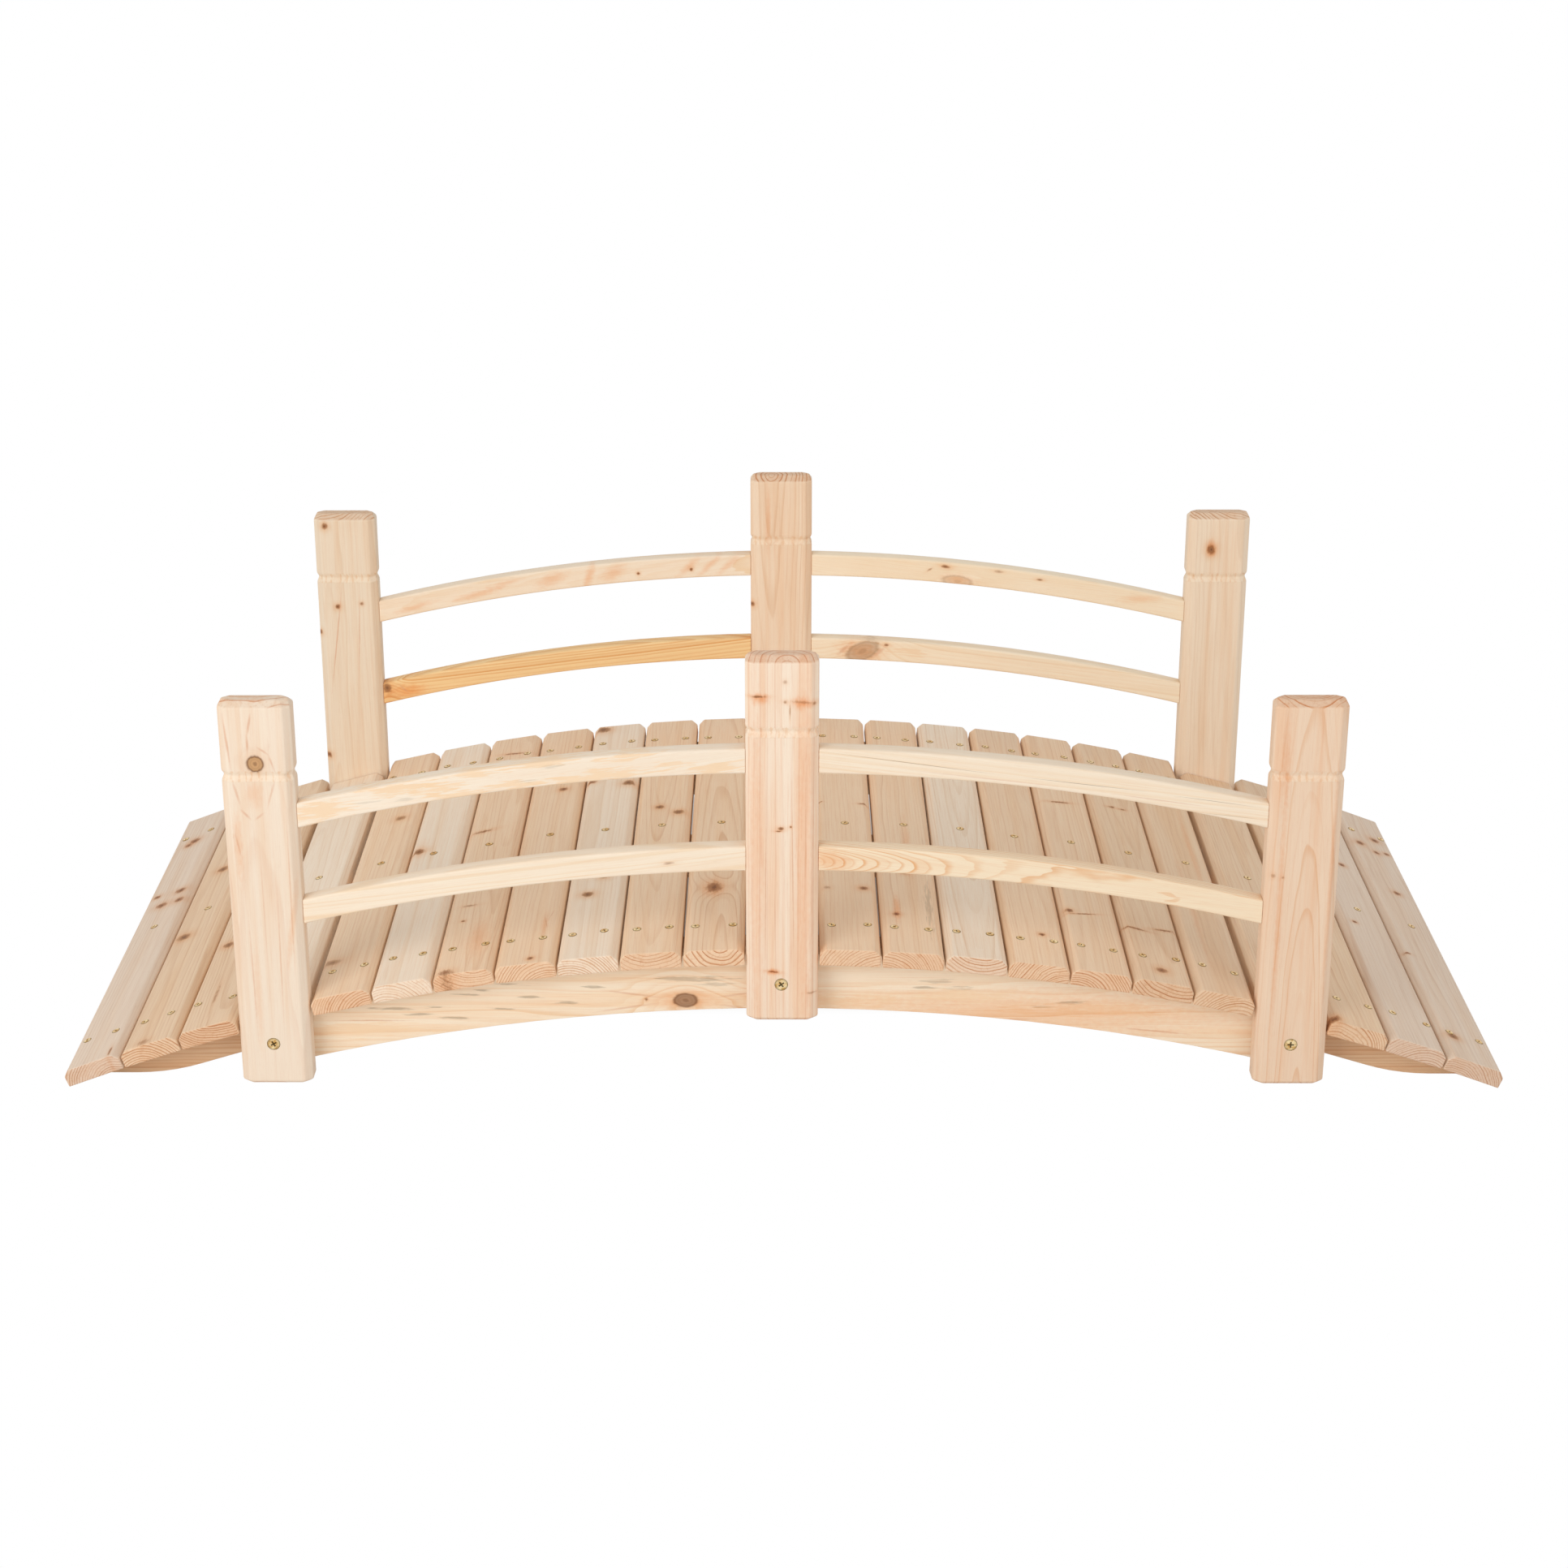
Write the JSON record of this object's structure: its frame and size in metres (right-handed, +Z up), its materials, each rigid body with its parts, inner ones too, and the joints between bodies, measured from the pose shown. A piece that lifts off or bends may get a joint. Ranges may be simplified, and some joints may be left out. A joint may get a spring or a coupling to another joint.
{
  "type": "garden bridge",
  "caption": "Small arched wooden garden bridge with a slatted deck on sawn stringers, grooved posts and two curved rails on each side.",
  "frame": {"origin": "on the ground under the middle of the deck", "axes": "+X along the bridge, +Y across it towards the rear rail, +Z up"},
  "size_m": [1.5366, 0.664, 0.4997],
  "materials": {
    "slat_wood": "raw sawn softwood",
    "post_wood": "raw planed softwood",
    "rail_wood": "raw planed softwood",
    "stringer_wood": "raw sawn softwood",
    "arch_board_wood": "raw sawn softwood"
  },
  "bodies": {
    "root": {"deck_slat_01": "slat_wood", "deck_slat_02": "slat_wood", "deck_slat_03": "slat_wood", "deck_slat_04": "slat_wood", "deck_slat_05": "slat_wood", "deck_slat_06": "slat_wood", "deck_slat_07": "slat_wood", "deck_slat_08": "slat_wood", "deck_slat_09": "slat_wood", "deck_slat_10": "slat_wood", "deck_slat_11": "slat_wood", "deck_slat_12": "slat_wood", "deck_slat_13": "slat_wood", "deck_slat_14": "slat_wood", "deck_slat_15": "slat_wood", "deck_slat_16": "slat_wood", "deck_slat_17": "slat_wood", "deck_slat_18": "slat_wood", "deck_slat_19": "slat_wood", "deck_slat_20": "slat_wood", "deck_slat_21": "slat_wood", "deck_slat_22": "slat_wood", "deck_slat_23": "slat_wood", "front_left_post": "post_wood", "front_middle_post": "post_wood", "front_right_post": "post_wood", "rear_left_post": "post_wood", "rear_middle_post": "post_wood", "rear_right_post": "post_wood", "front_left_upper_rail": "rail_wood", "front_left_lower_rail": "rail_wood", "front_right_upper_rail": "rail_wood", "front_right_lower_rail": "rail_wood", "rear_left_upper_rail": "rail_wood", "rear_left_lower_rail": "rail_wood", "rear_right_upper_rail": "rail_wood", "rear_right_lower_rail": "rail_wood", "front_stringer": "stringer_wood", "centre_stringer": "stringer_wood", "rear_stringer": "stringer_wood", "front_arch_board": "arch_board_wood", "rear_arch_board": "arch_board_wood"}
  },
  "joints": []
}
